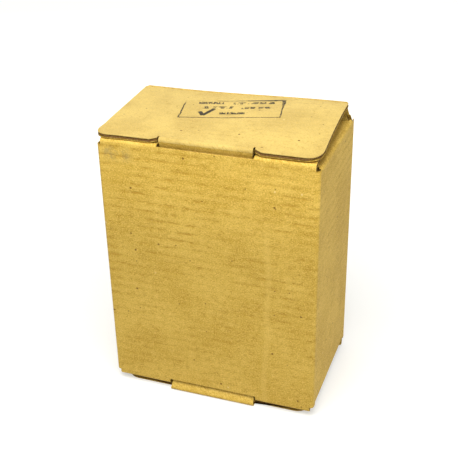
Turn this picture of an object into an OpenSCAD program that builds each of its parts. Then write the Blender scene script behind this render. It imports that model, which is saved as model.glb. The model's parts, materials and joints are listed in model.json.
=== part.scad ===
// Closed tuck-lock carton of single-wall corrugated board, lid up and front panel towards -Y.
// Every panel and flap is three papers: an outer liner, a fluted medium and an inner liner.
// The origin is on the floor under the middle of the carton.

/* [Carton] */
// Outside width across the two side panels
carton_w = 80; // [70:1:120]
// Outside depth from the front panel to the back panel
carton_d = 50; // [48:1:80]
// Height of a side panel from fold to fold
side_h = 96.5; // [60:0.5:160]
// Outside radius of the upright corners
corner_r = 1.3; // [0.8:0.1:1.4]
// How far the front folds stay short of the upright corners
front_notch_w = 1.5; // [1.5:0.1:3]
// How far the back folds stay short of the upright corners
back_notch_w = 0.8; // [0.5:0.1:2]

/* [Board] */
// Thickness of the corrugated board
board_t = 1.5; // [1.4:0.1:2]
// Thickness of a flat liner
liner_t = 0.25; // [0.15:0.05:0.35]
// Thickness of the fluted medium
medium_t = 0.2; // [0.12:0.02:0.3]
// Distance from one flute to the next
flute_pitch = 3.33; // [2.8:0.01:4]
// Outside radius of a fold
crease_r = 1.2; // [0.8:0.1:1.4]
// Air between two boards that lie on each other
layer_gap = 0.75; // [0.3:0.05:1]

/* [Lids] */
// How far a lid stands out past each side panel
lid_overhang = 0; // [0:0.1:1]
// How much narrower the bottom lid is at each side, so that the carton's sides hide it
bottom_lid_inset = 2.5; // [0:0.5:4]
// Radius of a lid's two front corners
lid_corner_r = 5.5; // [2:0.5:8]
// How far a lid's raw front edge lies behind its tongue's fold
lid_setback = 1.1; // [0.2:0.1:1.5]
// Width of the relief cut at each end of a tongue's fold
relief_w = 0.7; // [0.6:0.1:1.5]
// Length of the relief cut at each end of a tongue's fold
relief_l = 1.2; // [1:0.1:5]

/* [Tongues] */
// Width of the tongue that tucks in behind the front panel
tongue_w = 33.6; // [24:0.2:40]
// Length of a tongue from its fold
tongue_l = 10; // [8:0.5:11]
// Radius of a tongue's two free corners
tongue_corner_r = 3; // [1:0.5:4]
// How far each side of a tongue tapers in
tongue_taper = 1; // [0.2:0.1:2]
// Angle by which a tucked tongue leans in from upright
tongue_lean = 11; // [10:1:13]
// Air between a tongue and the crushed edge of the front panel
tongue_gap = 0.7; // [0.3:0.05:1]

/* [Front inner flaps] */
// Length of a front inner flap from its fold
front_flap_l = 22; // [16:0.5:23]
// How far each side of a front inner flap tapers in
front_flap_taper = 1.6; // [0.2:0.1:3]
// Radius of a front inner flap's two free corners
front_flap_corner_r = 3; // [1:0.5:6]
// Air round a tongue in the slot at the fold
slot_clear = 0.6; // [0.4:0.1:1.5]
// How far the slot's raw front edge stays below the fold
slot_edge_drop = 0.8; // [-0.3:0.1:1.2]

/* [Dust flaps] */
// Length of a dust flap from its fold
dust_flap_l = 25; // [18:0.5:27]
// How far a dust flap's sides stay inside the front and back panels
dust_flap_inset = 2.3; // [2:0.1:4]
// Angle of a dust flap's side next to the front panel
dust_front_angle = 22; // [22:1:26]
// Angle of a dust flap's side next to the back panel
dust_back_angle = 14; // [14:1:20]
// Radius of a dust flap's two free corners
dust_corner_r = 4; // [1:0.5:6]

/* [Glue flap] */
// Width of the glue flap inside the back left corner
glue_flap_w = 14; // [10:1:20]
// Angle of a glue flap's two slanted ends
glue_flap_angle = 15; // [8:1:25]
// How far the glue flap stays short of the panel at each end
glue_flap_drop = 1; // [0.5:0.5:4]

/* [Hidden] */
PIECES = ["front_panel", "back_panel", "left_panel", "right_panel", "glue_flap",
    for (end = ["top", "bottom"])
        for (flap = ["lid", "tongue", "front_flap", "left_dust_flap", "right_dust_flap"])
            str(end, "_", flap)];
LAYERS = ["outer_liner", "fluting", "inner_liner"];

// Levels: the walls stand between the two stacks of dust flap, front flap and lid.
stack_h = 3 * board_t + 2 * layer_gap;
wall_low = stack_h;
wall_high = wall_low + side_h - 2 * board_t;
carton_h = wall_high + stack_h;
dust_fold_z = wall_high + board_t;
front_fold_z = dust_fold_z + layer_gap + board_t;
lid_fold_z = carton_h;
slot_edge_z = front_fold_z - slot_edge_drop;
// The upright corners run on past the walls, level with the dust flaps' folds.
corner_high = dust_fold_z;
corner_low = carton_h - corner_high;

// The leaning tongue presses the slot's front edge flat, down to where it clears the panel's thickness.
crushed_t = 2 * liner_t + medium_t;
crushed_h = (board_t - crushed_t) / tan(tongue_lean);
crushed_low = slot_edge_z - crushed_h;

// Plan sizes
half_w = carton_w / 2;
half_d = carton_d / 2;
front_fold_half = half_w - front_notch_w;
back_fold_half = half_w - back_notch_w;
side_fold_half = half_d - board_t - corner_r;
// The tongue's fold lies this far behind the front face. Its lean takes it clear of the crushed edge.
tongue_setback = crushed_t + tongue_gap - (lid_fold_z - slot_edge_z) * tan(tongue_lean);
lid_reach = carton_d - tongue_setback;
lid_front = lid_reach - lid_setback;
tongue_half = tongue_w / 2;
slot_half = tongue_half + slot_clear;
slot_reach = tongue_setback + slot_clear + board_t / cos(tongue_lean)
    + (2 * board_t + layer_gap) * tan(tongue_lean);

// A tongue is folded past square by its lean. Its bend starts this far from the fold's corner.
tongue_fold = 90 + tongue_lean;
tongue_crease_reach = crease_r * tan(tongue_fold / 2);
tongue_board_reach = board_t * tan(tongue_fold / 2);

// A flute is drawn by this many steps, with a flat crest where it is glued to a liner.
flute_steps = 8;
flute_step = flute_pitch / flute_steps;
flute_swing = (board_t - 2 * liner_t - medium_t) / 2;
arc_steps = 6;
bend_facets = 48;

function flute_wave(i) =
    sin((i + flute_steps / 4 - 0.5) * 360 / flute_steps) / cos(180 / flute_steps);
function unit(v) = v / norm(v);
function lowest(points, axis) = min([for (p = points) p[axis]]);
function highest(points, axis) = max([for (p = points) p[axis]]);
function mirrored(half) = concat(half, [for (i = [len(half) - 1:-1:0]) [-half[i].x, half[i].y]]);

// The arc that rounds one corner of an outline, as points
function corner_arc(before, at, after, r) =
    r == 0 ? [at] :
    let (
        u = unit(before - at),
        v = unit(after - at),
        half = acos(u * v) / 2,
        centre = at + unit(u + v) * r / sin(half),
        first = at + u * r / tan(half) - centre,
        last = at + v * r / tan(half) - centre,
        start = atan2(first.y, first.x),
        turn = (atan2(last.y, last.x) - start + 540) % 360 - 180
    )
    [for (i = [0:arc_steps]) let (at_angle = start + turn * i / arc_steps)
        centre + r * [cos(at_angle), sin(at_angle)]];
function rounded(points, radii) = let (n = len(points))
    [for (i = [0:n - 1]) each corner_arc(points[(i + n - 1) % n], points[i], points[(i + 1) % n], radii[i])];

// The papers. Each board is drawn flat: its outer face is at z = 0, its thickness goes down,
// its flutes run along X, and a flap grows along +Y from its fold at y = 0.
module flutes(outline) {
    first = floor(lowest(outline, 1) / flute_step) - 1;
    last = ceil(highest(outline, 1) / flute_step) + 1;
    function line(side) = [for (i = [first:last])
        [i * flute_step, flute_swing * flute_wave(i) + side * medium_t / 2 - board_t / 2]];
    upper = line(1);
    lower = line(-1);
    left = lowest(outline, 0) - 1;
    right = highest(outline, 0) + 1;
    translate([left, 0, 0]) rotate([90, 0, 90]) linear_extrude(right - left)
        polygon(concat(upper, [for (i = [len(lower) - 1:-1:0]) lower[i]]));
}

module sheet(outline, layer) {
    if (layer == "outer_liner")
        translate([0, 0, -liner_t]) linear_extrude(liner_t) polygon(outline);
    if (layer == "inner_liner")
        translate([0, 0, -board_t]) linear_extrude(liner_t) polygon(outline);
    if (layer == "fluting") intersection() {
        translate([0, 0, -board_t]) linear_extrude(board_t) polygon(outline);
        flutes(outline);
    }
}

// The outer liner's bend over a fold whose corner is at y, z = 0, turning down by angle
module crease(low_x, high_x, y, angle = 90) {
    reach = crease_r * tan(angle / 2);
    translate([low_x, y - reach, -crease_r]) rotate([90, 0, 90])
        rotate([0, 0, 90]) rotate_extrude(angle = -angle, $fn = bend_facets)
        translate([crease_r - liner_t, 0]) square([liner_t, high_x - low_x]);
}

// The outer liner's bend round an upright corner at x: side is 1 for a wall's +X end, -1 for its -X end
module upright_bend(x, side) {
    translate([x - side * corner_r, corner_low, -corner_r]) rotate([-90, 0, 0])
        rotate([0, 0, side > 0 ? -90 : 180]) rotate_extrude(angle = 90, $fn = bend_facets)
        translate([corner_r - liner_t, 0]) square([liner_t, corner_high - corner_low]);
}

function box_outline(x0, x1, y0, y1) = [[x0, y0], [x1, y0], [x1, y1], [x0, y1]];

// Walls are drawn with Y upwards. A wall's lower end is its upper end turned half a turn.
module both_ends() {
    children();
    translate([0, carton_h, 0]) rotate([0, 0, 180]) children();
}

function paper(layer) =
    layer == "outer_liner" ? "#c69a62" : layer == "inner_liner" ? "#b98d58" : "#9a7850";

// The front panel is raised between its folds, where the tongue tucks in behind it.
function front_outline(half, fold, middle) = [
    [-half, carton_h - fold], [-slot_half, carton_h - fold], [-slot_half, carton_h - middle],
    [slot_half, carton_h - middle], [slot_half, carton_h - fold], [half, carton_h - fold],
    [half, fold], [slot_half, fold], [slot_half, middle],
    [-slot_half, middle], [-slot_half, fold], [-half, fold]];

// The raised edge is crushed flat: the inner liner steps out to the outer one, and the fluting between
// them closes its last flute and lies flat.
module crushed_edge(layer) {
    stepped = crushed_low + board_t - crushed_t;
    if (layer == "inner_liner")
        translate([-slot_half, 0, 0]) rotate([90, 0, 90]) linear_extrude(2 * slot_half) polygon([
            [crushed_low, -board_t], [stepped, -crushed_t], [slot_edge_z, -crushed_t],
            [slot_edge_z, liner_t - crushed_t], [stepped, liner_t - crushed_t],
            [crushed_low, liner_t - board_t]]);
    if (layer == "fluting") translate([-slot_half, crushed_low - medium_t, 0]) {
        translate([0, 0, -liner_t - medium_t])
            cube([2 * slot_half, crushed_h + medium_t, medium_t]);
        translate([0, 0, liner_t - board_t])
            cube([2 * slot_half, medium_t, board_t - 2 * liner_t]);
    }
}

module front_panel(layer) {
    color(paper(layer)) translate([0, -half_d, 0]) rotate([90, 0, 0])
        if (layer == "outer_liner") {
            sheet(front_outline(front_fold_half, front_fold_z - crease_r, slot_edge_z), layer);
            sheet(box_outline(corner_r - half_w, half_w - corner_r, corner_low, corner_high), layer);
            both_ends() {
                crease(slot_half, front_fold_half, front_fold_z);
                crease(-front_fold_half, -slot_half, front_fold_z);
            }
            upright_bend(half_w, 1);
            upright_bend(-half_w, -1);
        } else {
            sheet(front_outline(front_fold_half, front_fold_z - board_t, crushed_low), layer);
            both_ends() crushed_edge(layer);
        }
}

// The back panel's left end is a raw edge, glued over the glue flap.
module back_panel(layer) {
    color(paper(layer)) translate([0, half_d, 0]) rotate([90, 0, 180])
        if (layer == "outer_liner") {
            sheet(box_outline(-back_fold_half, back_fold_half,
                carton_h - lid_fold_z + crease_r, lid_fold_z - crease_r), layer);
            sheet(box_outline(corner_r - half_w, half_w, corner_low, corner_high), layer);
            both_ends() crease(-back_fold_half, back_fold_half, lid_fold_z);
            upright_bend(-half_w, -1);
        } else {
            sheet(box_outline(board_t - half_w, back_fold_half,
                carton_h - lid_fold_z + board_t, lid_fold_z - board_t), layer);
            sheet(box_outline(back_fold_half, half_w, corner_low, corner_high), layer);
        }
}

// The strip of a side panel between its folds' ends and an upright corner, where there is room for one
module corner_strip(x0, x1) {
    if (x1 - x0 > liner_t)
        sheet(box_outline(x0, x1, corner_low, corner_high), "outer_liner");
}

// A side wall between x0 and x1, with the fold of a dust flap at each end
module side_wall(x0, x1, layer) {
    if (layer == "outer_liner") {
        sheet(box_outline(x0 + corner_r, x1 - corner_r, wall_low, wall_high), layer);
        sheet(box_outline(-side_fold_half, side_fold_half,
            carton_h - dust_fold_z + crease_r, dust_fold_z - crease_r), layer);
        both_ends() crease(-side_fold_half, side_fold_half, dust_fold_z);
        corner_strip(x0 + corner_r, -side_fold_half);
        corner_strip(side_fold_half, x1 - corner_r);
    } else
        sheet(box_outline(x0 + board_t, x1 - board_t, wall_low, wall_high), layer);
}

// The left panel turns in at the back to carry the glue flap, one board inside the back panel.
module left_panel(layer) {
    color(paper(layer)) translate([-half_w, 0, 0]) rotate([90, 0, -90]) {
        side_wall(board_t - half_d, half_d, layer);
        if (layer == "outer_liner")
            upright_bend(board_t - half_d, -1);
    }
}

module right_panel(layer) {
    color(paper(layer)) translate([half_w, 0, 0]) rotate([90, 0, 90])
        side_wall(-half_d, half_d, layer);
}

module glue_flap(layer) {
    fold = half_w - (layer == "outer_liner" ? corner_r : board_t);
    edge = half_w - board_t - glue_flap_w;
    drop = glue_flap_drop + (fold - edge) * tan(glue_flap_angle);
    outline = [
        [fold, wall_low + glue_flap_drop], [fold, wall_high - glue_flap_drop],
        [edge, wall_high - drop], [edge, wall_low + drop]];
    color(paper(layer)) translate([0, half_d - board_t, 0]) rotate([90, 0, 180])
        sheet(outline, layer);
}

// A flap's outer liner starts where the bend ends. Its other papers start one board in.
function fold_start(layer) = layer == "outer_liner" ? crease_r : board_t;

module lid(layer, half_width) {
    outer = layer == "outer_liner";
    middle = lid_reach - (outer ? tongue_crease_reach : tongue_board_reach);
    half = [
        [back_fold_half, fold_start(layer)],
        [half_width, fold_start(layer) + abs(half_width - back_fold_half)], [half_width, lid_front],
        [tongue_half + relief_w, lid_front], [tongue_half + relief_w, lid_front - relief_l],
        [tongue_half, lid_front - relief_l], [tongue_half, middle]];
    radii = [0, 0, lid_corner_r, 0, 0, 0, 0];
    sheet(rounded(mirrored(half), concat(radii, [for (i = [6:-1:0]) radii[i]])), layer);
    if (outer)
        crease(-tongue_half, tongue_half, lid_reach, tongue_fold);
}

module tongue(layer) {
    start = layer == "outer_liner" ? tongue_crease_reach : tongue_board_reach;
    half = [[tongue_half, start], [tongue_half - tongue_taper, tongue_l]];
    radii = [0, tongue_corner_r, tongue_corner_r, 0];
    translate([0, lid_reach, 0]) rotate([-tongue_fold, 0, 0])
        sheet(rounded(mirrored(half), radii), layer);
}

module front_flap(layer) {
    start = fold_start(layer);
    half = [
        [slot_half, slot_reach], [slot_half, start],
        [front_fold_half, start], [front_fold_half - front_flap_taper, front_flap_l]];
    radii = [0, 0, 0, front_flap_corner_r, front_flap_corner_r, 0, 0, 0];
    sheet(rounded(mirrored(half), radii), layer);
}

// front is the side that faces the front panel: 1 for +X, -1 for -X
module dust_flap(layer, front) {
    start = fold_start(layer);
    half = half_d - board_t - dust_flap_inset;
    run = dust_flap_l - start;
    outline = [
        [front * half, start],
        [front * (half - run * tan(dust_front_angle)), dust_flap_l],
        [-front * (half - run * tan(dust_back_angle)), dust_flap_l],
        [-front * half, start]];
    sheet(rounded(outline, [0, dust_corner_r, dust_corner_r, 0]), layer);
}

// Each flap of the top, set on its fold
module placed_flap(flap, layer, lid_inset = 0) {
    if (flap == "lid")
        translate([0, half_d, lid_fold_z]) rotate([0, 0, 180])
            lid(layer, half_w + lid_overhang - lid_inset);
    if (flap == "tongue")
        translate([0, half_d, lid_fold_z]) rotate([0, 0, 180]) tongue(layer);
    if (flap == "front_flap")
        translate([0, -half_d, front_fold_z]) front_flap(layer);
    if (flap == "left_dust_flap")
        translate([-half_w, 0, dust_fold_z]) rotate([0, 0, -90]) dust_flap(layer, 1);
    if (flap == "right_dust_flap")
        translate([half_w, 0, dust_fold_z]) rotate([0, 0, 90]) dust_flap(layer, -1);
}

module top_flap(flap, layer) {
    color(paper(layer)) placed_flap(flap, layer);
}

// The bottom is the top turned half a turn about Y, so its left dust flap is the top's right one.
module bottom_flap(flap, layer) {
    turned = flap == "left_dust_flap" ? "right_dust_flap"
        : flap == "right_dust_flap" ? "left_dust_flap" : flap;
    color(paper(layer)) translate([0, 0, carton_h]) rotate([0, 180, 0])
        placed_flap(turned, layer, bottom_lid_inset);
}

for (layer = LAYERS) {
    front_panel(layer);
    back_panel(layer);
    left_panel(layer);
    right_panel(layer);
    glue_flap(layer);
    for (flap = ["lid", "tongue", "front_flap", "left_dust_flap", "right_dust_flap"]) {
        top_flap(flap, layer);
        bottom_flap(flap, layer);
    }
}
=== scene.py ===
import bmesh
import bpy
import json
import math
from mathutils import Matrix, Vector, noise

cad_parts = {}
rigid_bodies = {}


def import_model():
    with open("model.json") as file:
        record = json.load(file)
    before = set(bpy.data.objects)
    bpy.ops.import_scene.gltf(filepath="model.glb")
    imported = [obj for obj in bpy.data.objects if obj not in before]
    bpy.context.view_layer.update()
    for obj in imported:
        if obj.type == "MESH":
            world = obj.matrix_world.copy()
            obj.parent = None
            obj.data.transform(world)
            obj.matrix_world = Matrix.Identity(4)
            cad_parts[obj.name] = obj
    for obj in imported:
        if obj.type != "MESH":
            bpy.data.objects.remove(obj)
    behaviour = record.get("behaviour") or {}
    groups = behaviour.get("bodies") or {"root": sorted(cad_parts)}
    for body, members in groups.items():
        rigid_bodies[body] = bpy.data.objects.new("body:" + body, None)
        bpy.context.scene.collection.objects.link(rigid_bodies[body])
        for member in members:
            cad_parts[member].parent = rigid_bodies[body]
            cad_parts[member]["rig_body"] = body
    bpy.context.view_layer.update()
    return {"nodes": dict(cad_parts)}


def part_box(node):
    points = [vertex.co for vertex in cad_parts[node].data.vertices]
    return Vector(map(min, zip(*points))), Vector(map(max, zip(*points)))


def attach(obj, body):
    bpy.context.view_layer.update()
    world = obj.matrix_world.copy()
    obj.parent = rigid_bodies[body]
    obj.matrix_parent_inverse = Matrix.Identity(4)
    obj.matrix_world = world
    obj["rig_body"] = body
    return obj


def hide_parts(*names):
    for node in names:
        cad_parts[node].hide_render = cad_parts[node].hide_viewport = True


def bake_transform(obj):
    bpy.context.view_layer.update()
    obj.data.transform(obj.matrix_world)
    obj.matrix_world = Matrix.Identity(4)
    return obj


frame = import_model()
nodes = frame["nodes"]

MM = 0.001
ENDS = ("top", "bottom")
FLAPS = ("lid", "tongue", "front_flap", "left_dust_flap", "right_dust_flap")


# ---------------------------------------------------------------- sizes read from the frame

wall_low, wall_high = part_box("front_panel_outer_liner")
left_x, front_y = wall_low.x, wall_low.y
right_x, back_y = wall_high.x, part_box("back_panel_outer_liner")[1].y
carton_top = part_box("top_lid_outer_liner")[1].z
side_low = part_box("bottom_left_dust_flap_outer_liner")[0].z
side_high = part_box("top_left_dust_flap_outer_liner")[1].z
tongue_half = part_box("top_tongue_fluting")[1].x
FLUTE_PITCH = 3.33 * MM
BOARD_T = 1.5 * MM
LINER_T = 0.25 * MM
CREASE_R = 1.2 * MM
CORNER_R = 1.3 * MM
BACK_NOTCH = 0.8 * MM
SLOT_CLEAR = 0.6 * MM
TONGUE_FOLD = 101


# ---------------------------------------------------------------- camera

CAMERA_YAW, CAMERA_TILT, CAMERA_ROLL = 20.15, 61.5, -1.26
CAMERA_LENS = 71.3
CAMERA_FROM_CORNER = Vector((142.9, -257.6, 219.7)) * MM

scene = bpy.context.scene
camera = bpy.data.objects.new("camera", bpy.data.cameras.new("camera"))
scene.collection.objects.link(camera)
scene.camera = camera
camera.data.lens = CAMERA_LENS
camera.data.sensor_width = 36
camera.data.clip_start, camera.data.clip_end = 0.01, 20
camera.matrix_world = Matrix.Translation(Vector((left_x, front_y, side_low)) + CAMERA_FROM_CORNER) @ (
    Matrix.Rotation(math.radians(CAMERA_YAW), 4, "Z")
    @ Matrix.Rotation(math.radians(CAMERA_TILT), 4, "X")
    @ Matrix.Rotation(math.radians(CAMERA_ROLL), 4, "Z"))


# ---------------------------------------------------------------- materials

def srgb(red, green, blue):
    """An 8-bit screen colour as the linear colour that renders as it."""
    def linear(v):
        v /= 255
        return v / 12.92 if v <= 0.04045 else ((v + 0.055) / 1.055) ** 2.4
    return linear(red), linear(green), linear(blue), 1


BUMP_DEPTH = 0.3 * MM


class Graph:
    """A material's or world's nodes, written as calls. An input is a number, a colour or a node's output."""

    def __init__(self, owner):
        self.owner = owner
        owner.use_nodes = True
        self.tree = owner.node_tree
        self.tree.nodes.clear()

    def add(self, kind, inputs=(), **settings):
        made = self.tree.nodes.new("ShaderNode" + kind)
        for key, value in settings.items():
            setattr(made, key, value)
        for key, value in dict(inputs).items():
            if isinstance(value, bpy.types.NodeSocket):
                self.tree.links.new(value, made.inputs[key])
            else:
                made.inputs[key].default_value = value
        return made

    def math(self, operation, a, b=0.0, clamp=False):
        return self.add("Math", {0: a, 1: b}, operation=operation, use_clamp=clamp).outputs[0]

    def place(self):
        return self.add("TexCoord").outputs["Object"]

    def axes(self, vector):
        return self.add("SeparateXYZ", {0: vector}).outputs

    def scaled(self, vector, scale):
        return self.add("Mapping", {"Vector": vector, "Scale": scale}).outputs[0]

    def noise(self, vector, scale, detail=2.0, roughness=0.5, distortion=0.0):
        return self.add("TexNoise", {"Vector": vector, "Scale": scale, "Detail": detail,
                                     "Roughness": roughness, "Distortion": distortion}).outputs[0]

    def between(self, value, low, high, to_low=0.0, to_high=1.0):
        return self.add("MapRange", {0: value, 1: low, 2: high, 3: to_low, 4: to_high},
                        interpolation_type="SMOOTHSTEP").outputs[0]

    def mix(self, factor, a, b, blend="MIX"):
        made = self.add("Mix", data_type="RGBA", blend_type=blend)
        for socket, value in ((made.inputs[0], factor), (made.inputs[6], a), (made.inputs[7], b)):
            if isinstance(value, bpy.types.NodeSocket):
                self.tree.links.new(value, socket)
            else:
                socket.default_value = value
        return made.outputs[2]

    def seen(self):
        """1 where the camera looks straight or by a reflection."""
        path = self.add("LightPath").outputs
        return self.math("MAXIMUM", path["Is Camera Ray"], path["Is Glossy Ray"])

    def finish(self, colour, bump, strength, roughness):
        normal = self.add("Bump", {"Height": bump, "Strength": strength, "Distance": BUMP_DEPTH})
        shader = self.add("BsdfPrincipled", {"Base Color": colour, "Roughness": roughness,
                                             "Specular IOR Level": 0.35, "Normal": normal.outputs[0]})
        self.add("OutputMaterial", {0: shader.outputs[0]})
        return self.owner


KRAFT = srgb(206, 170, 66)
KRAFT_PALE = srgb(226, 192, 96)
KRAFT_DARK = srgb(168, 130, 32)
# Painted sheen: the lid's liner gets a paler, less yellow base than the walls', for its top that faces the
# light
KRAFT_LID_PAINTED_SHEEN = srgb(214, 189, 114)
# Painted shade in the washboard's grooves between the flutes
KRAFT_GROOVE_SHADE = srgb(160, 118, 20)
KRAFT_LIGHT = srgb(236, 214, 150)
KRAFT_STAIN = srgb(158, 117, 20)
FLECK = srgb(112, 74, 10)
SMUDGE = srgb(128, 112, 78)
INK = srgb(44, 32, 0)
# Each kind of speck in the pulp: cells per metre, size in a cell, share of cells left out, strength, colour
FLECKS = ((95, 0.05, 0.82, 0.9, FLECK), (190, 0.07, 0.9, 0.75, FLECK), (110, 0.05, 0.95, 0.55, KRAFT_LIGHT))
MEDIUM = srgb(128, 100, 58)

FLUTE_AXIS = {"front_panel": "z", "back_panel": "z", "left_panel": "z", "right_panel": "z", "glue_flap": "z",
              "lid": "y", "tongue": "z", "front_flap": "y", "left_dust_flap": "x", "right_dust_flap": "x"}

STAMP_AT = (-1.25 * MM, 7.3 * MM, 0)
STAMP_TURN = math.radians(11.5)
STAMP_HALF = (18.2 * MM, 8.6 * MM)
# Each ruled row of the stamp: height above its middle, ends, half thickness
STAMP_ROWS = ((6.3, -13.0, -4.0, 1.1), (6.0, 0.0, 15.5, 1.0), (1.4, -11.5, 0.0, 1.1), (0.9, 3.5, 14.0, 0.8),
              (-4.4, -4.0, 6.0, 0.9))
STAMP_TICK = ((-11.6, -3.0), (-9.8, -6.2), (-6.6, -0.2))


def near(g, value, middle, half, soft):
    """1 where a value is within half of the middle, fading to 0 over soft."""
    return g.between(g.math("ABSOLUTE", g.math("SUBTRACT", value, middle)), half + soft, half)


def stroke(g, u, v, start, end, half, soft):
    """1 on a pen line between two points."""
    along = Vector(end) - Vector(start)
    reach = along.normalized()
    across = Vector((-reach.y, reach.x))
    middle = (Vector(start) + Vector(end)) / 2
    run = g.math("ADD", g.math("MULTIPLY", u, reach.x), g.math("MULTIPLY", v, reach.y))
    side = g.math("ADD", g.math("MULTIPLY", u, across.x), g.math("MULTIPLY", v, across.y))
    return g.math("MULTIPLY", near(g, run, middle.dot(reach), along.length / 2, soft),
                  near(g, side, middle.dot(across), half, soft))


def stamp(g, at, colour):
    """A rubber stamp's uneven frame with dashed rows and a tick, in worn ink."""
    local = g.add("Mapping", {"Vector": at, "Location": STAMP_AT, "Rotation": (0, 0, STAMP_TURN)},
                  vector_type="TEXTURE").outputs[0]
    wobble = g.math("MULTIPLY", g.math("SUBTRACT", g.noise(at, 260, 2), 0.5), 0.9 * MM)
    u, v, _ = g.axes(local)
    u, v = g.math("ADD", u, wobble), g.math("ADD", v, wobble)
    edge = g.math("MAXIMUM", g.math("SUBTRACT", g.math("ABSOLUTE", u), STAMP_HALF[0]),
                  g.math("SUBTRACT", g.math("ABSOLUTE", v), STAMP_HALF[1]))
    heavy = g.math("MULTIPLY", g.between(u, 0, 16 * MM), g.between(v, 0, 8 * MM))
    weight = g.math("ADD", g.math("MULTIPLY", heavy, 0.5 * MM), 0.2 * MM)
    frame_ink = g.math("SUBTRACT", weight, g.math("ABSOLUTE", edge))
    ink = g.between(frame_ink, -0.16 * MM, 0.04 * MM)
    faded = g.math("MULTIPLY", g.between(u, -3 * MM, -9 * MM), g.between(v, 4 * MM, 8 * MM))
    ink = g.math("MULTIPLY", ink, g.between(faded, 0, 1, 1, 0.1))
    dashes = g.noise(g.scaled(local, (1, 0.3, 1)), 620, 3, 0.6)
    dashes = g.between(dashes, 0.44, 0.5)
    for middle, start, end, half in STAMP_ROWS:
        row = g.math("MULTIPLY", near(g, v, middle * MM, half * MM, 0.2 * MM),
                     near(g, u, (start + end) / 2 * MM, (end - start) / 2 * MM, 0.3 * MM))
        ink = g.math("MAXIMUM", ink, g.math("MULTIPLY", row, dashes))
    worn = g.between(g.noise(at, 700, 4, 0.7), 0.34, 0.52, 0.45, 1.0)
    ink = g.math("MULTIPLY", ink, worn)
    for start, end in zip(STAMP_TICK, STAMP_TICK[1:]):
        line = stroke(g, u, v, [c * MM for c in start], [c * MM for c in end], 0.65 * MM, 0.25 * MM)
        ink = g.math("MAXIMUM", ink, line)
    return g.mix(ink, colour, INK)


def front_wear_and_painted_light(g, at, colour):
    """A grey smudge under the front's top left corner, a pale streak along a ridge down its right side, and
    painted light that brightens the front towards its top.
    """
    x, _, z = g.axes(at)
    smudge = g.math("MULTIPLY", near(g, x, left_x + 7 * MM, 3 * MM, 5 * MM),
                    near(g, z, side_high - 3 * MM, 0.5 * MM, 3.5 * MM))
    smudge = g.math("MULTIPLY", smudge, g.between(g.noise(at, 220, 4, 0.7), 0.35, 0.65))
    colour = g.mix(g.math("MULTIPLY", smudge, 0.55), colour, SMUDGE)
    sway = g.math("MULTIPLY", g.math("SUBTRACT", g.noise(at, 25, 1), 0.5), 6 * MM)
    ridge = g.math("MULTIPLY", near(g, g.math("ADD", x, sway), right_x - 18 * MM, 0.3 * MM, 1.4 * MM),
                   g.between(z, 82 * MM, 70 * MM))
    colour = g.mix(g.math("MULTIPLY", ridge, 0.3), colour, KRAFT_PALE)
    # Painted light: the front's colour grows up to a fifth brighter towards its top, where the lamp is nearer
    painted_lamp_light = g.between(z, 60 * MM, 100 * MM, 1.0, 1.2)
    return g.add("VectorMath", {0: colour, 3: painted_lamp_light}, operation="SCALE").outputs[0]


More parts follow.
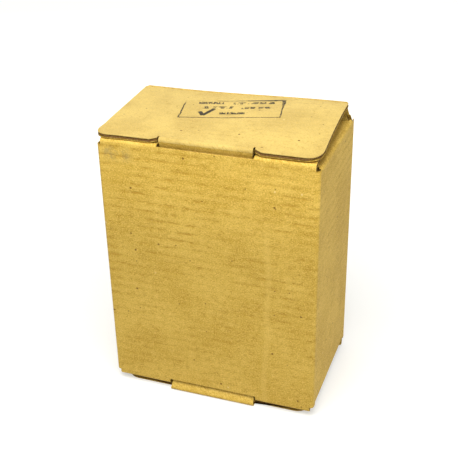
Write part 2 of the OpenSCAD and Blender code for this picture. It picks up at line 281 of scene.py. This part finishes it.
def kraft(name, across, lines=0.45, base=KRAFT, marks=None, grain=1.0):
    """Kraft liner. across is the axis that crosses the flutes, so it carries the washboard lines, painted as
    shade in their grooves and a highlight on their crests.
    """
    g = Graph(bpy.data.materials.new(name))
    at = g.place()
    x, y, z = g.axes(at)
    height = {"x": x, "y": y, "z": z}[across]
    run = g.math("SUBTRACT", g.math("ADD", g.math("ADD", x, y), z), height)
    flat = g.add("CombineXYZ", {0: run, 1: height}).outputs[0]
    cloud = g.noise(flat, 50, 3, 0.6)
    patch = g.between(g.noise(flat, 90, 4, 0.65), 0.4, 0.6, 0.2, 1.0)
    stain = g.noise(g.scaled(flat, (1, 1.4, 1)), 380, 7, 0.8)
    fibre = g.noise(g.scaled(flat, (1, 2.2, 1)), 1300, 3, 0.75)
    speckle = g.noise(flat, 1900, 2, 0.8)
    colour = g.mix(g.between(cloud, 0.36, 0.64), KRAFT_DARK, KRAFT_PALE)
    colour = g.mix(0.65, colour, base)
    dark = g.math("MULTIPLY", g.between(stain, 0.49, 0.66, 0, 0.85 * grain), patch)
    colour = g.mix(dark, colour, KRAFT_STAIN)
    colour = g.mix(g.between(stain, 0.48, 0.34, 0, 0.7 * grain), colour, KRAFT_PALE)
    colour = g.mix(g.between(fibre, 0.5, 0.62, 0, 0.8 * grain), colour, KRAFT_DARK)
    colour = g.mix(g.between(speckle, 0.5, 0.38, 0, 0.8 * grain), colour, KRAFT_PALE)

    # The washboard lines: painted shade in the grooves between the flutes and a painted highlight on their
    # crests, stronger higher up the walls
    wander = g.math("MULTIPLY", g.math("SUBTRACT", g.noise(flat, 60, 2), 0.5), 1.4)
    jitter = g.math("SUBTRACT", g.noise(flat, 420, 3, 0.7), 0.5)
    wander = g.math("ADD", wander, g.math("MULTIPLY", jitter, 2.0))
    wave = g.math("SINE", g.math("ADD", g.math("MULTIPLY", height, math.tau / FLUTE_PITCH), wander))
    dashes = g.between(g.noise(g.scaled(flat, (0.5, 1.5, 1)), 330, 5, 0.8), 0.42, 0.6)
    area = g.between(g.noise(flat, 32, 2), 0.36, 0.6, 0.3, 1.0)
    if across == "z":
        area = g.math("MULTIPLY", area, g.between(z, 15 * MM, 70 * MM, 0.45, 1.0))
    area = g.math("MULTIPLY", area, lines)
    shaded_groove = g.math("MULTIPLY", g.between(wave, 0.3, 1.0), g.math("MULTIPLY", dashes, area))
    crest_highlight = g.math("MULTIPLY", g.between(wave, -0.1, -1.0), g.math("MULTIPLY", dashes, area))
    colour = g.mix(g.math("MULTIPLY", crest_highlight, 0.4), colour, KRAFT_PALE)
    colour = g.mix(g.math("MULTIPLY", shaded_groove, 0.75), colour, KRAFT_GROOVE_SHADE)
    for scale, size, chance, depth, tint in FLECKS:
        spots = g.add("TexVoronoi", {"Vector": flat, "Scale": scale, "Randomness": 1.0},
                      feature="F1", voronoi_dimensions="2D")
        pick = g.axes(spots.outputs["Color"])[0]
        dot = g.math("MULTIPLY", g.between(spots.outputs["Distance"], size, size / 2),
                     g.between(pick, chance, chance + 0.02))
        colour = g.mix(g.math("MULTIPLY", dot, depth), colour, tint)
    if marks:
        colour = marks(g, at, colour)
    relief = g.math("SUBTRACT", g.math("MULTIPLY", fibre, 0.5), g.math("MULTIPLY", shaded_groove, 0.3))
    relief = g.math("ADD", relief, g.math("MULTIPLY", stain, 0.5))
    return g.finish(colour, relief, 0.6, 0.7)


def raw_medium(name):
    g = Graph(bpy.data.materials.new(name))
    rough = g.noise(g.place(), 1400, 4, 0.7)
    colour = g.mix(g.between(rough, 0.35, 0.65), MEDIUM, FLECK)
    return g.finish(colour, rough, 0.8, 0.9)


liner = {axis: kraft("kraft_liner_" + axis, axis) for axis in "xyz"}
inner = {axis: kraft("inner_liner_" + axis, axis, lines=0.2, base=KRAFT_DARK) for axis in "xyz"}
stamped = kraft("kraft_liner_stamped", "y", lines=0.15, base=KRAFT_LID_PAINTED_SHEEN, marks=stamp, grain=0.55)
front_liner = kraft("kraft_liner_front", "z", lines=0.85, marks=front_wear_and_painted_light)
medium = raw_medium("fluted_medium")
SLOTS = {"outer_liner": "kraft_liner", "fluting": "fluted_medium", "inner_liner": "inner_liner"}


def split_name(node):
    """top_lid_outer_liner -> lid, outer_liner"""
    piece = node.removeprefix("top_").removeprefix("bottom_")
    layer = next(end for end in SLOTS if piece.endswith(end))
    return piece.removesuffix("_" + layer), layer


def finish_of(node):
    piece, layer = split_name(node)
    if node == "top_lid_outer_liner":
        return stamped
    if node == "front_panel_outer_liner":
        return front_liner
    return medium if layer == "fluting" else (liner if layer == "outer_liner" else inner)[FLUTE_AXIS[piece]]


for name, thing in nodes.items():
    thing.data.materials.clear()
    thing.data.materials.append(finish_of(name))


# ---------------------------------------------------------------- handled paper

SKEW = 2.1 * MM
LIFT = 1.2 * MM
RISE = 1.5 * MM
RELIEF = 0.05 * MM
BULGE = 0.45 * MM
BAND_OUT = 2.0 * MM
SLOT_UP = 1.4 * MM
# The liner beside the top lid's fold turns with it, so that the sprung lid clears the back panel when open
HINGE_FLAT = 1.4 * MM
# Points this near to a cut's line count as on it
HAIR = 0.01 * MM
slot_cut = tongue_half + SLOT_CLEAR - 0.1 * MM
OUTWARD = {"front_panel": Vector((0, -1, 0)), "back_panel": Vector((0, 1, 0)),
           "left_panel": Vector((-1, 0, 0)), "right_panel": Vector((1, 0, 0)), "lid": Vector((0, 0, 1))}


def step(value, low, high):
    """0 at low to 1 at high, eased. low may lie above high."""
    t = min(1, max(0, (value - low) / (high - low)))
    return t * t * (3 - 2 * t)


def sprung(x, y):
    """How far the lid's hinge has sprung up towards its right end."""
    return RISE * step(x, -25 * MM, right_x) * step(y, front_y, back_y)


def lid_warp(at):
    """The top lid sits askew, its right side has sprung up, and its front wings droop over the front fold."""
    t = min(1, max(0, (at.y - front_y) / (back_y - CREASE_R - front_y)))
    wing = (step(abs(at.x), tongue_half + 0.2 * MM, tongue_half + 3 * MM)
            * step(at.y, front_y + 14 * MM, front_y + 3 * MM))
    corner = step(at.x, left_x + 9 * MM, left_x) * step(at.y, front_y + 10 * MM, front_y + 2 * MM)
    arch = LIFT * 4 * t * (1 - t) * step(at.x, -10 * MM, right_x)
    return Vector((-SKEW * t - 1.3 * MM * corner, -1.3 * MM * wing - 0.9 * MM * corner,
                   arch + sprung(at.x, at.y) - 0.45 * MM * wing))


def band_warp(at):
    """The bottom tongue's fold has sprung out of its slot and stands proud of the front panel."""
    if abs(at.x) > tongue_half + 0.3 * MM:
        return Vector()
    out = BAND_OUT * step(at.z, 4.8 * MM, 1.0 * MM) * step(at.y, front_y + 9 * MM, front_y + 4 * MM)
    return Vector((0, -out, 0))


def slot_warp(at):
    """The bottom slot's front edge is cut higher than its folds, so more of the tongue's fold shows."""
    if abs(at.x) > slot_cut + HAIR:
        return Vector()
    return Vector((0, 0, SLOT_UP * step(at.z, 9 * MM, 3.5 * MM)))


def upstand_warp(at):
    """The back panel's top edge goes with the lid."""
    t = step(at.z, side_high - 4 * MM, carton_top - 1.5 * MM)
    return Vector((-SKEW * t, 0, t * sprung(at.x, at.y)))


def washboard(piece, node):
    """The liner sinks a little between the flutes, and the panel swells, both fading towards its folds."""
    low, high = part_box(node)
    fluting_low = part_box(node.replace("outer_liner", "fluting"))[0]
    across = "xyz".index(FLUTE_AXIS[piece])
    up = OUTWARD[piece]
    spans = [axis for axis in range(3) if abs(up[axis]) < 0.5]

    def shift(at):
        border = min(min(at[axis] - low[axis], high[axis] - at[axis]) for axis in spans)
        phase = (at[across] - fluting_low[across]) / FLUTE_PITCH
        patch = 0.55 + 0.45 * noise.noise(at * 40)
        sink = -RELIEF * (0.5 - 0.5 * math.cos(math.tau * phase)) * patch * step(border, 2 * MM, 4 * MM)
        swell = BULGE * (0.5 + 0.5 * noise.noise(at * 22 + Vector((3, 7, 1)))) * step(border, 2 * MM, 22 * MM)
        return up * (sink + swell)
    return shift


def hinge_warp(at):
    """The back panel's warp up to the top lid's fold, and the lid's beyond it."""
    return (upstand_warp if at.y > back_y - CREASE_R - HAIR else lid_warp)(at)


class Fold:
    """A crease: the corner line it turns about, the wall's way into it, the wall's outer side and its span.

    flat is how much of the flat liner on either side turns with the bend."""

    def __init__(self, wall, flap, corner, way, outward, along, low, high, angle=90, warp=None, flat=0):
        self.wall, self.flap, self.angle, self.warp, self.flat = wall, flap, math.radians(angle), warp, flat
        self.way, self.outward = Vector(way), Vector(outward)
        self.along, self.low, self.high = along, low, high
        self.reach = CREASE_R * math.tan(self.angle / 2)
        self.bend_start = Vector(corner) - self.way * self.reach
        self.flap_way = self.way * math.cos(self.angle) - self.outward * math.sin(self.angle)
        self.start = self.bend_start - self.way * flat
        self.end = Vector(corner) + self.flap_way * (self.reach + flat)

    def edge(self, node):
        """Where the strip ends on a node, and the way from there into the strip."""
        return (self.start, self.way) if node == self.wall else (self.end, -self.flap_way)

    def holds(self, node, at):
        """Whether a point of a node's liner is in the strip. A flap gives its flat part, at full width."""
        edge, inward = self.edge(node)
        inside = (at - edge).dot(inward) > HAIR
        if node == self.flap:
            return inside and self.flat > 0
        return inside and self.low - 2 * HAIR < at[self.along] < self.high + 2 * HAIR

    def strip(self, name):
        """The liner round the bend, as its own piece."""
        centre = self.bend_start - self.outward * CREASE_R
        stations = max(1, round((self.high - self.low) / (4 * MM)))
        turns = 10
        span = self.low, self.high
        bends = [(self.angle * k / turns, Vector(), span) for k in range(turns + 1)]
        if self.flat:
            flap_span = [corner[self.along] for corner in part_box(self.flap)]
            bends.insert(0, (0, -self.way * self.flat, span))
            bends.append((self.angle, self.flap_way * self.flat, flap_span))
            turns += 2
        points, faces = [], []
        for i in range(stations + 1):
            for radius in (CREASE_R, CREASE_R - LINER_T):
                for phi, onward, (low, high) in bends:
                    at = centre + radius * (self.outward * math.cos(phi) + self.way * math.sin(phi)) + onward
                    at[self.along] = low + (high - low) * i / stations
                    points.append(at)
        row = 2 * (turns + 1)
        for i in range(stations):
            for k in range(turns):
                a, b = i * row + k, (i + 1) * row + k
                faces.append((a, b, b + 1, a + 1))
                a, b = a + turns + 1, b + turns + 1
                faces.append((a, a + 1, b + 1, b))
        for first in (0, stations * row):
            rims = [(first + k, first + k + turns + 1) for k in range(turns)]
            faces += [(a, a + 1, b + 1, b) for a, b in rims]
        mesh = bpy.data.meshes.new(name)
        mesh.from_pydata(points, [], faces)
        for polygon in mesh.polygons:
            polygon.use_smooth = True
        mesh.set_sharp_from_angle(angle=math.radians(35))
        mesh.materials.append(finish_of(self.wall))
        piece = bpy.data.objects.new(name, mesh)
        scene.collection.objects.link(piece)
        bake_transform(piece)
        if self.warp:
            for vertex in mesh.vertices:
                vertex.co += self.warp(vertex.co.copy())


def folds_of(end):
    """The folds of one end of the carton that a flap turns on."""
    up = 1 if end == "top" else -1
    flap = {name: end + "_" + name + "_outer_liner" for name in FLAPS}
    lid_z = carton_top if up > 0 else 0
    side_z = side_high if up > 0 else side_low
    front_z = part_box(flap["front_flap"])[0 if up < 0 else 1].z
    side_half = back_y - BOARD_T - CORNER_R
    tongue_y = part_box(flap["lid"])[0].y - CREASE_R * (math.tan(math.radians(TONGUE_FOLD / 2)) - 1)
    slot_half, front_half = tongue_half + SLOT_CLEAR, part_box(flap["front_flap"])[1].x
    back_half = right_x - BACK_NOTCH
    warp_back, warp_lid, flat = (hinge_warp, lid_warp, HINGE_FLAT) if up > 0 else (None, band_warp, 0)
    yield Fold("left_panel_outer_liner", flap["left_dust_flap"], (left_x, 0, side_z), (0, 0, up), (-1, 0, 0),
               1, -side_half, side_half)
    yield Fold("right_panel_outer_liner", flap["right_dust_flap"], (right_x, 0, side_z), (0, 0, up),
               (1, 0, 0), 1, -side_half, side_half)
    for low, high in ((-front_half, -slot_half), (slot_half, front_half)):
        yield Fold("front_panel_outer_liner", flap["front_flap"], (0, front_y, front_z), (0, 0, up),
                   (0, -1, 0), 0, low, high)
    yield Fold("back_panel_outer_liner", flap["lid"], (0, back_y, lid_z), (0, 0, up), (0, 1, 0),
               0, -back_half, back_half, warp=warp_back, flat=flat)
    yield Fold(flap["lid"], flap["tongue"], (0, tongue_y, lid_z), (0, -1, 0), (0, 0, up),
               0, -tongue_half, tongue_half, TONGUE_FOLD, warp_lid)


def reshaped(node, cuts, *shifts):
    """A finer copy of a CAD node, moved by the shifts. cuts holds (axis, step, from, to)."""
    source = nodes[node]
    bm = bmesh.new()
    bm.from_mesh(source.data)
    bmesh.ops.remove_doubles(bm, verts=bm.verts[:], dist=1e-7)
    for axis, size, low, high in cuts:
        normal = Vector([1.0 if axis == i else 0.0 for i in range(3)])
        for i in range(1, int((high - low) / size)):
            bmesh.ops.bisect_plane(bm, geom=bm.verts[:] + bm.edges[:] + bm.faces[:], dist=1e-7,
                                   plane_co=normal * (low + i * size), plane_no=normal)
    bends = [fold for fold in folds if node in (fold.wall, fold.flap)]
    for fold in bends:
        if fold.flat:
            edge, inward = fold.edge(node)
            bmesh.ops.bisect_plane(bm, geom=bm.verts[:] + bm.edges[:] + bm.faces[:], dist=1e-7,
                                   plane_co=edge, plane_no=inward)
    bent = [face for face in bm.faces if any(fold.holds(node, face.calc_center_median()) for fold in bends)]
    bmesh.ops.delete(bm, geom=bent, context="FACES")
    for vertex in bm.verts:
        at = vertex.co.copy()
        for shift in shifts:
            vertex.co += shift(at)
    mesh = bpy.data.meshes.new(node + "_paper")
    bm.to_mesh(mesh)
    bm.free()
    mesh.materials.append(finish_of(node))
    piece = bpy.data.objects.new(node + "_paper", mesh)
    scene.collection.objects.link(piece)
    for polygon in mesh.polygons:
        polygon.use_smooth = True
    mesh.set_sharp_from_angle(angle=math.radians(35))
    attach(piece, source["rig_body"])
    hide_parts(node)
    return piece


FINE = FLUTE_PITCH / 8
COARSE = 5 * MM


def spans_of(node, fine_axis, coarse_axis):
    low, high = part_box(node)
    return [(fine_axis, FINE, low[fine_axis], high[fine_axis]),
            (coarse_axis, COARSE, low[coarse_axis], high[coarse_axis])]


folds = [fold for end in ENDS for fold in folds_of(end)]
for number, fold in enumerate(folds):
    fold.strip("fold_strip_%02d" % number)
for wall in ("left_panel", "right_panel"):
    node = wall + "_outer_liner"
    reshaped(node, spans_of(node, 2, 1), washboard(wall, node))
node = "front_panel_outer_liner"
# Steps as long as the slot, which cut just at its two ends
slot_sides = (0, 2 * slot_cut, -3 * slot_cut, 3 * slot_cut + 1e-6)
reshaped(node, spans_of(node, 2, 0) + [slot_sides], washboard("front_panel", node), slot_warp)
for layer in ("fluting", "inner_liner"):
    reshaped("front_panel_" + layer, [slot_sides, (2, 1.5 * MM, 0, 12 * MM)], slot_warp)
node = "back_panel_outer_liner"
reshaped(node, spans_of(node, 2, 0), washboard("back_panel", node), upstand_warp)
for layer in ("fluting", "inner_liner"):
    reshaped("back_panel_" + layer, [(2, 1.5 * MM, side_high - 3 * MM, carton_top)], upstand_warp)
node = "top_lid_outer_liner"
reshaped(node, spans_of(node, 1, 0), washboard("lid", node), lid_warp)
for layer in ("fluting", "inner_liner"):
    low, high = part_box("top_lid_" + layer)
    reshaped("top_lid_" + layer, [(0, COARSE, low.x, high.x), (1, COARSE, low.y, high.y)], lid_warp)

for layer in SLOTS:
    for piece in ("bottom_lid_", "bottom_tongue_"):
        cuts = [(1, 0.7 * MM, front_y, front_y + 9 * MM), (2, 0.4 * MM, 0, 4 * MM)]
        reshaped(piece + layer, cuts, band_warp)


# ---------------------------------------------------------------- light and floor

def panel(name, location, target, size, power):
    lamp = bpy.data.lights.new(name, "AREA")
    lamp.shape, lamp.size, lamp.energy = "DISK", size, power
    thing = bpy.data.objects.new(name, lamp)
    thing.location = location
    thing.rotation_euler = (Vector(target) - Vector(location)).to_track_quat("-Z", "Y").to_euler()
    scene.collection.objects.link(thing)


panel("ceiling", (0.03, -0.21, 0.48), (0, 0, 0.07), 0.36, 2.25)
panel("side_fill", (0.46, -0.16, 0.26), (0, 0, 0.05), 0.30, 0.55)
panel("back_fill", (-0.2, 0.5, 0.12), (0, 0, 0.05), 0.30, 0.45)

scene.world = bpy.data.worlds.new("world")
g = Graph(scene.world)
level = g.add("MapRange", {0: g.seen(), 3: 0.44, 4: 1.0})
sky = g.add("Background", {"Color": (1, 1, 1, 1), "Strength": level.outputs[0]})
g.add("OutputWorld", {0: sky.outputs[0]})

floor_mesh = bpy.data.meshes.new("floor")
floor_mesh.from_pydata([(-6, -6, 0), (6, -6, 0), (6, 6, 0), (-6, 6, 0)], [], [(0, 1, 2, 3)])
floor = bpy.data.objects.new("floor", floor_mesh)
scene.collection.objects.link(floor)
g = Graph(bpy.data.materials.new("floor"))
# Painted shade: the floor's glow falls from 0.68 to 0.46 nearer than 0.3 m to the box, darkening the ground
# round it beside its cast shadow
away = g.add("VectorMath", {0: g.place()}, operation="LENGTH").outputs["Value"]
glow_with_painted_shade = g.math("MULTIPLY", g.seen(), g.between(away, 0.07, 0.3, 0.46, 0.68))
paper = g.add("BsdfDiffuse", {"Color": (0.6, 0.6, 0.58, 1)})
glow = g.add("Emission", {"Color": (1, 1, 0.97, 1), "Strength": glow_with_painted_shade})
both = g.add("AddShader", {0: paper.outputs[0], 1: glow.outputs[0]})
g.add("OutputMaterial", {0: both.outputs[0]})
floor_mesh.materials.append(g.owner)

scene.view_settings.view_transform = "Standard"
